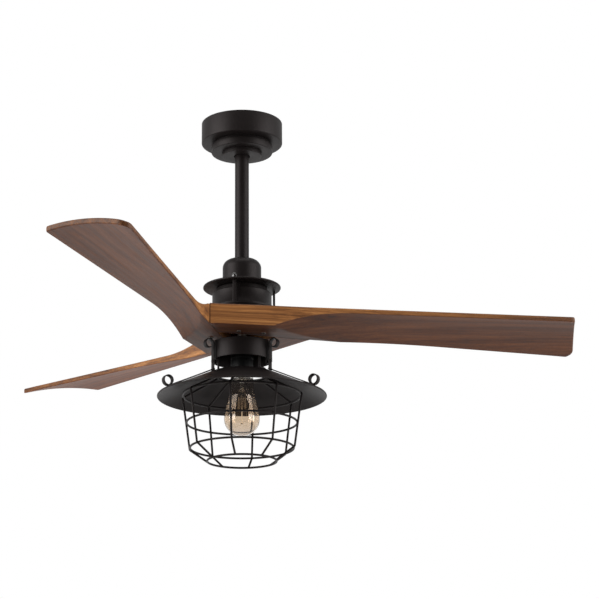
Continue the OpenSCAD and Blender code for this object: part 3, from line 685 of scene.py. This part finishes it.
def rotor_metal():
    turned("motor_disc", "flange_disc", "rotor", [
        (24, DISC_BOTTOM), (73.1, DISC_BOTTOM, 1.7), (73.1, DISC_TOP, 1.7), (24, DISC_TOP)])
    turned("motor_can", "motor_housing", "rotor", [
        (12, 331.7), (48, 331.7, 2.2), (48, 341.5, 0.8), (55.8, 341.5, 2.4), (55.8, 368.9),
        (56.4, 369.5, 0.3), (56.4, PLATE_TOP), (53.8, PLATE_TOP), (53.8, 343.5, 1), (46, 343.5),
        (46, 333.7), (20.5, 333.7), (20.5, 343.7), (17.5, 343.7), (17.5, 333.7), (12, 333.7)],
        "dark_turned")
    turned("hub_plate", "blade_plate", "rotor", [
        (12, PLATE_TOP), (67, PLATE_TOP, 0.8), (67, 377.5, 0.8), (65.5, 377.5),
        (65.5, HUB_TOP, 0.4), (48, HUB_TOP, 0.4), (48, 379.5), (24, 379.5), (24, 404, 0.5),
        (17.5, 404), (17.5, 393), (12, 393)])
    section = bar_section(2.8, 6.8, 0.5)
    bar = sweep([(0, 0, -DISC_BOTTOM), (0, 0, -352), (0, 0, -PLATE_TOP)], section, up=(0, 1, 0))
    nut = acorn_nut()
    bars, nuts = [], []
    for turn in CAP_TURNS:
        spot = around(turn) @ Matrix.Translation((63.5, 0, 0))
        bars.append(placed(bar, spot))
        nuts += [placed(half, spot @ Matrix.Translation((0, 0, -DISC_TOP))) for half in nut]
    piece("motor_strap_bars", *merge(bars), "dark_metal", "rotor", ["upper_straps"])
    piece("acorn_nuts", *merge(nuts), "dark_metal", "rotor", ["cap_nuts"], material="nut_gloss",
          angle=35)


# ---- blades, as in the CAD but finer and with rounded edges

LEAD_OFF, TRAIL_OFF, SPREAD = 102.7, 32.6, math.radians(8.25)
LEAD_REACH, TRAIL_REACH = 615.0, 664.5
LEAD_RISE, TRAIL_FALL, TRAIL_RISE = 4.0, 23.4, 2.3
BLADE_T, CAMBER, CARVE = 9.3, 8.5, 41.0
LEAD_CORNER, TRAIL_CORNER = 6.0, 22.0
EDGE_R, SEAM_R = 2.4, 0.9                # roundings of the free edges and of the root joints
# how light each blade's wood is: partly its plank's own tone, partly painted light (the back blade
# lighter, the right blade darker)
PLANK_AND_LIGHT_TONES = (0.82, 1.40, 0.90)


def mix(a, b, t):
    return a + (b - a) * t


def clamp(x):
    return min(1.0, max(0.0, x))


def trail_y(x):
    return (x * math.sin(SPREAD) - TRAIL_OFF) / math.cos(SPREAD)


ROOT_A = SPREAD - math.radians(120)
ROOT_OFF = TRAIL_OFF - 0.15             # a fine gap to the next blade
LEAD_ROOT = Vector(((ROOT_OFF - LEAD_OFF * math.cos(ROOT_A)) / math.sin(ROOT_A), -LEAD_OFF))
TRAIL_ROOT_X = ((-ROOT_OFF * math.cos(SPREAD) + TRAIL_OFF * math.cos(ROOT_A))
                / math.sin(math.radians(120)))
TRAIL_ROOT = Vector((TRAIL_ROOT_X, trail_y(TRAIL_ROOT_X)))
LEAD_TIP = Vector((LEAD_REACH, -LEAD_OFF))
TRAIL_TIP = Vector((TRAIL_REACH, trail_y(TRAIL_REACH)))
TIP_LEN = (TRAIL_TIP - LEAD_TIP).length
JOINT_END = (Matrix.Rotation(math.radians(120), 2) @ LEAD_ROOT).x


def pull(d, r):
    """How far a rounded edge of radius r draws the surface in, at a distance d from the edge."""
    return r - math.sqrt(max(0.0, r * r - (r - d) ** 2)) if d < r else 0.0


def carve_x(u):
    """Where the carved face starts; u goes from the leading to the trailing edge."""
    return CARVE + 75 * u + 75 * u ** 4


def carve_point(u):
    x = carve_x(u)
    return Vector((x, mix(-LEAD_OFF, trail_y(x), u)))


def tip_point(u):
    inward = pull(u * TIP_LEN, LEAD_CORNER) + pull((1 - u) * TIP_LEN, TRAIL_CORNER)
    return LEAD_TIP.lerp(TRAIL_TIP, u) - Vector((inward, 0))


def along(x):
    return clamp((x - CARVE) / (LEAD_REACH - CARVE))


def face_drop(x, u):
    a = along(x)
    return (mix(HUB_TOP - LEAD_RISE * a, HUB_TOP + TRAIL_FALL - TRAIL_RISE * a * a, u)
            - CAMBER * a * 4 * u * (1 - u))


def ease(x, start, length, power):
    return (1 - clamp((x - start) / length)) ** power


def upper_drop(x, u):
    return mix(face_drop(x, u), HUB_TOP, ease(x, 75 + 52 * u, 110, 2))


def lower_drop(x, u):
    return mix(face_drop(x, u) + BLADE_T, HUB_BOTTOM, ease(x, carve_x(u), mix(150, 200, u), 2.2))


def blade_mesh():
    """A blade along +X: rows from its root to its tip, each from the leading edge to the other."""
    near = [0, 0.12, 0.5, 1.1, 1.7, 2.4, 3.6]          # distances from an edge
    inner = 28                                         # points between those near the two edges
    hub_rows = [0, 0.15, 0.5, 1.2] + [i * 100 / 14 for i in range(1, 15)]
    tip_rows = [1 - d for d in (0, 0.00025, 0.001, 0.0022, 0.0035, 0.0048, 0.0072)]
    rows = [("hub", h / 100) for h in hub_rows]
    rows += [("thin", (i / 90) ** 1.15) for i in range(1, 90) if (i / 90) ** 1.15 < 0.99]
    rows += [("thin", t) for t in reversed(tip_rows)]

    def at(row, u):
        kind, t = row
        if kind == "hub":
            return LEAD_ROOT.lerp(TRAIL_ROOT, u).lerp(carve_point(u), t)
        return carve_point(u).lerp(tip_point(u), t)

    upper, lower = [], []
    for row in rows:
        span = (at(row, 1) - at(row, 0)).length
        us = [d / span for d in near]
        us += [mix(us[-1], 1 - us[-1], i / (inner + 1)) for i in range(1, inner + 1)]
        us += [1 - d / span for d in reversed(near)]
        for u in us:
            p = at(row, u)
            x = p.x
            lead_r = mix(SEAM_R, EDGE_R, clamp((x - LEAD_ROOT.x) / 12))
            trail_r = mix(SEAM_R, EDGE_R, clamp((x - JOINT_END - 4) / 30))
            off = pull(u * span, lead_r) + pull((1 - u) * span, trail_r)
            if row[0] == "thin":
                off += pull((tip_point(u) - p).length, EDGE_R)
            else:
                off += pull((p - LEAD_ROOT.lerp(TRAIL_ROOT, u)).length, SEAM_R)
            off = min(off, EDGE_R)
            upper.append((x, p.y, -(upper_drop(x, u) + off)))
            lower.append((x, p.y, -(lower_drop(x, u) - off)))
    width = 2 * len(near) + inner
    total = len(upper)
    faces = []
    last = len(rows) - 1
    for r in range(last):
        for c in range(width - 1):
            i = r * width + c
            faces.append([i, i + 1, i + width + 1, i + width])
            faces.append([total + i, total + i + width, total + i + width + 1, total + i + 1])
        a, b = r * width, r * width + width - 1
        faces.append([a, a + width, total + a + width, total + a])
        faces.append([b, total + b, total + b + width, b + width])
    for c in range(width - 1):
        faces.append([c, total + c, total + c + 1, c + 1])
        i = last * width + c
        faces.append([i, i + 1, total + i + 1, total + i])
    return upper + lower, faces


def blades():
    verts, faces = blade_mesh()
    for i, side in enumerate(("right", "back", "left")):
        turn = math.radians(BLADE_ANGLE + 120 * i)
        # each blade is cut from its own plank; its tone is partly the plank's own and partly
        # painted light, lighter on the back blade and darker on the right one
        shift = Vector((1.7 * i, 0.31 * i, 0.17 * i))
        MATS["walnut_" + side] = wood("walnut_" + side, turn, shift, PLANK_AND_LIGHT_TONES[i])
        piece("wood_blade_" + side, *placed((verts, faces), Matrix.Rotation(turn, 4, "Z")),
              "walnut", "rotor", ["blade_" + side], "walnut_" + side, angle=48, weld=False)

    heads = []
    rng = random.Random(7)
    for i in range(3):
        for x, y in SCREW_SPOTS:
            spot = (Matrix.Rotation(math.radians(BLADE_ANGLE + 120 * i), 4, "Z")
                    @ Matrix.Translation((x, y, -HUB_BOTTOM)) @ UPSIDE_DOWN
                    @ Matrix.Rotation(rng.uniform(0, 1.5), 4, "Z"))
            heads.append(placed(cross_head(4.2, 2.2), spot))
            heads.append(placed(rod(SCREW_SHANK_R, 0, 44.9),
                                spot @ Matrix.Translation((0, 0, 0.05))))
    piece("blade_cross_screws", *merge(heads), "screw_steel", "rotor", ["blade_screws"])


# ------------------------------------------------------------------ lamp

def lamp_body():
    turned("lamp_can", "lamp_housing", "hanging", [
        (8.55, CAN_TOP), (8.55, 439.6), (55, 439.6), (55, 472.3, 0.4), (56.5, 472.3, 0.4),
        (56.5, CAN_TOP, 1.8)])
    rim = arc(SHADE_R - 1.5, SHADE_RIM - 1.5, 1.5, 156, -150, 18)
    turned("lamp_shade", "shade", "hanging", [
        (50, SHADE_TOP, 0.4), (57.5, SHADE_TOP, 2.5), *rim, (57.2, 496.5, 2.0), (50, 496.5, 0.4)],
        segs=192)
    post = lathe(filleted([(0, 437.8), (2, 437.8, 0.3), (2, 496.1, 0.5), (0, 496.1)], 3), 40)
    posts = [placed(post, around(t) @ Matrix.Translation((45.3, 0, 0))) for t in POST_TURNS]
    piece("shade_rods", *merge(posts), "dark_metal", "hanging", ["shade_posts"])
    tab = sweep([(55.4, 0, -468), (55.4, 0, -476), (55.4, 0, -484)], bar_section(1.6, 9, 0.3),
                up=(0, 1, 0))
    piece("housing_tabs", *merge([placed(tab, around(t)) for t in STRAP_TURNS]), "dark_metal",
          "hanging", angle=40)


STRAP_R = 61.0              # the middle of a strip's upright run
BEND_DROP = SHADE_TOP - 1.0
SCREW_DROP = 479.0


def strap_path():
    """The middle line of a strip in (radius, drop), from its top curl to its rim curl."""
    slope = math.atan2(SHADE_RIM - SHADE_TOP, SHADE_R - 56)
    fall = math.tan(slope)
    top_r, top_drop = 8.6, 446.2
    path = []
    for k in range(40):                       # top curl, from its tip back to the strip
        a = math.radians(mix(-112, 180, k / 39))
        size = top_r * mix(0.86, 1.0, clamp(k / 26))
        path.append((STRAP_R + top_r + size * math.cos(a), top_drop - size * math.sin(a)))
    path.append((STRAP_R, top_drop + 20))
    bend = 3.0
    turn = math.pi / 2 - slope
    centre = (STRAP_R + bend, BEND_DROP - bend * math.tan(turn / 2))
    for k in range(9):
        a = math.pi - turn * k / 8
        path.append((centre[0] + bend * math.cos(a), centre[1] + bend * math.sin(a)))
    path.append((110.0, BEND_DROP + (110.0 - STRAP_R + 1) * fall))
    rim_r, curl = 149.0, 9.4
    middle = (rim_r + curl * math.sin(slope),
              BEND_DROP + (rim_r - STRAP_R + 1) * fall - curl * math.cos(slope))
    for k in range(44):                       # rim curl, from its lowest point outwards and up
        a = slope - math.radians(mix(0, 346, k / 43))
        size = curl * mix(1.0, 0.87, clamp((k - 18) / 25))
        path.append((middle[0] - size * math.sin(a), middle[1] + size * math.cos(a)))
    return path


def straps():
    quarter = math.pi / 2
    path = [(r, 0, -drop) for r, drop in strap_path()]
    strip = sweep(path, bar_section(2, 10, 0.5), up=(0, 1, 0))
    foot = placed(lathe(filleted([(0, -5), (2.2, -5, 0.4), (2.2, 5, 0.4), (0, 5)], 3), 32),
                  Matrix.Translation((STRAP_R, 0, -BEND_DROP)) @ Matrix.Rotation(quarter, 4, "X"))
    for turn, side in zip(STRAP_TURNS, ("right", "back", "left")):
        piece("scroll_strap_" + side, *placed(merge([strip, foot]), around(turn)), "dark_metal",
              "hanging", ["lower_strap_" + side], angle=40)
    # nut, sleeve and shank of a screw that points at the axis, then its head
    inner = lathe([(0, -51), (1.6, -51), (1.6, -52), (3, -52), (3, -54.6), (1.6, -54.6),
                   (1.6, -56.2), (3, -56.2), (3, -60), (0, -60)], 32)
    screws = []
    for turn in STRAP_TURNS:
        spot = (around(turn) @ Matrix.Translation((0, 0, -SCREW_DROP))
                @ Matrix.Rotation(quarter, 4, "Y"))
        screws.append(placed(inner, spot))
        screws.append(placed(cross_head(3.4, 1.6), spot @ Matrix.Translation((0, 0, 62))))
    piece("strap_cross_screws", *merge(screws), "dark_metal", "hanging", ["strap_screws"])


RINGS = {"cage_collar": (46, 501.2), "cage_ring_top": (109.5, 537.1),
         "cage_ring_upper": (102.1, 588.9), "cage_ring_lower": (95.4, 636.1),
         "cage_ring_base": (63.8, 660.6)}
WIRE = 2.0
WIRE_SHIFT = 2 * WIRE - 1.2     # from a ring's middle to the middle of a wire welded on it
STRUT_END = (64.5, 660.2)


def cage():
    for node, (r, drop) in RINGS.items():
        piece(node.replace("cage_", "wire_"), *torus(r, drop, WIRE), "dark_metal", "hanging",
              [node])
    top, upper, lower, base = (RINGS["cage_ring_" + n] for n in ("top", "upper", "lower", "base"))
    corners = [(47, RINGS["cage_collar"][1] + WIRE_SHIFT), (top[0] + WIRE_SHIFT, top[1]),
               (lower[0] + WIRE_SHIFT, lower[1]), STRUT_END]
    path = rounded_path([(r, 0, -d) for r, d in corners], [4.0, 4.0], 8)
    wire = sweep(path, circle_section(WIRE, WIRE_SEGS))
    wires, welds = [], []
    for turn in WIRE_TURNS:
        wires.append(placed(wire, around(turn)))
        for r, d in (top, upper, lower):
            welds.append(placed(ball((r + WIRE_SHIFT / 2, 0, -d), (1.1, 2.0, 1.8)), around(turn)))
        welds.append(placed(ball((base[0] + 1.3, 0, 1.0 - base[1]), (1.8, 2.3, 1.8)),
                            around(turn)))
    piece("cage_bent_wires", *merge(wires), "dark_metal", "hanging",
          ["cage_spokes", "cage_uprights", "cage_struts"])
    piece("cage_welds", *merge(welds), "dark_metal", "hanging")


def socket():
    turned("socket_cup", "lamp_socket", "hanging", [
        (4.8, 441.6), (6.85, 441.6), (6.85, 458), (18, 458, 1), (21, 461, 1), (21, 468, 0.3),
        (20.4, 468.6, 0.3), (20.4, 470.4, 0.3), (21, 471, 0.3), (21, 497, 0.8),
        (13.6, 497, 0.8), (13.6, 472.5), (4.8, 472.5)])


def envelope():
    """The glass wall of the bulb, 0.8 mm thick, open at its neck."""
    neck, wide, top, middle, bottom = 21.2, 33.0, 504.0, 582.0, 613.6

    def wall(inset):
        pts = [(13.2 - inset, 500.2), (17.4 - inset, 500.7), (20.2 - inset, 502.0)]
        for i in range(33):
            t = (i / 32) ** 1.15
            pts.append((mix(neck, wide, t * t * (3 - 2 * t)) - inset, mix(top, middle, i / 32)))
        for i in range(1, 29):
            a = math.pi / 2 * i / 28
            pts.append(((wide - inset) * math.cos(a) if i < 28 else 0,
                        middle + (bottom - middle - inset) * math.sin(a)))
        return pts
    return wall(0) + wall(0.8)[::-1]


def filament():
    """A wire zigzagging between two circles, with a leg to each of its turns."""
    top_r, top_drop, low_r, low_drop = 6, 530, 9.5, 582
    loops, wire_r, leg_r = 8, 0.12, 0.1
    tops = [(*polar(top_r, 20 + 45 * i), -top_drop) for i in range(loops)]
    lows = [(*polar(low_r, 42.5 + 45 * i), -low_drop) for i in range(loops)]
    points = [p for pair in zip(tops, lows) for p in pair]
    runs = [sweep(rounded_path(points, [0.8] * (len(points) - 2), 5), circle_section(wire_r, 8))]
    for i in range(loops):
        runs.append(sweep([(1, 0.2 * i - 0.8, -522.5), (*polar(3.5, 20 + 45 * i), -526.5),
                           tops[i]], circle_section(leg_r, 8)))
        runs.append(sweep([(0.5, 0, -590), (*polar(6, 42.5 + 45 * i), -588), lows[i]],
                          circle_section(leg_r, 8)))
    return merge(runs)


def bulb():
    piece("bulb_envelope", *lathe(envelope(), 128), "amber_glass", "hanging", ["bulb_glass"])
    cap = [(0, 472.6), (4.6, 472.6), (5, 473.4), (5, 474.2), (10.5, 475.4), (12.2, 476.6)]
    for i in range(5):                        # the thread, as plain rings
        d = 478.0 + 4 * i
        cap += [(12.3, d - 1.6), (12.9, d - 0.8), (13.3, d), (12.9, d + 0.8), (12.3, d + 1.6)]
    cap += [(12.9, 498.6), (13.1, 500), (12.1, 500), (12.1, 480), (0, 480)]
    piece("bulb_cap", *lathe(cap, 96), "lamp_cap", "hanging", ["bulb_base"])
    stem = [(0, 490), (10, 490), (10, 501), (7, 503), (5, 505), (3.6, 512), (3, 520),
            (3.6, 522), (3.8, 523), (3.2, 524.8), (2.2, 526), (1.0, 527), (0.8, 529), (0.8, 587),
            (1.2, 588), (2.0, 588.8), (2.2, 590), (1.8, 591), (1.0, 591.5), (0, 591.6)]
    piece("bulb_glass_stem", *lathe(stem, 64), "stem_glass", "hanging", ["bulb_stem"])
    piece("bulb_cage_filament", *filament(), "filament", "hanging", ["bulb_filament"])


studio()
ceiling_mount()
hanging_tube()
rotor_metal()
blades()
lamp_body()
straps()
cage()
socket()
bulb()

for node, obj in frame["nodes"].items():
    if not obj.hide_render:
        obj.data.materials.clear()
        obj.data.materials.append(MATS[SLOT_OF[node]])
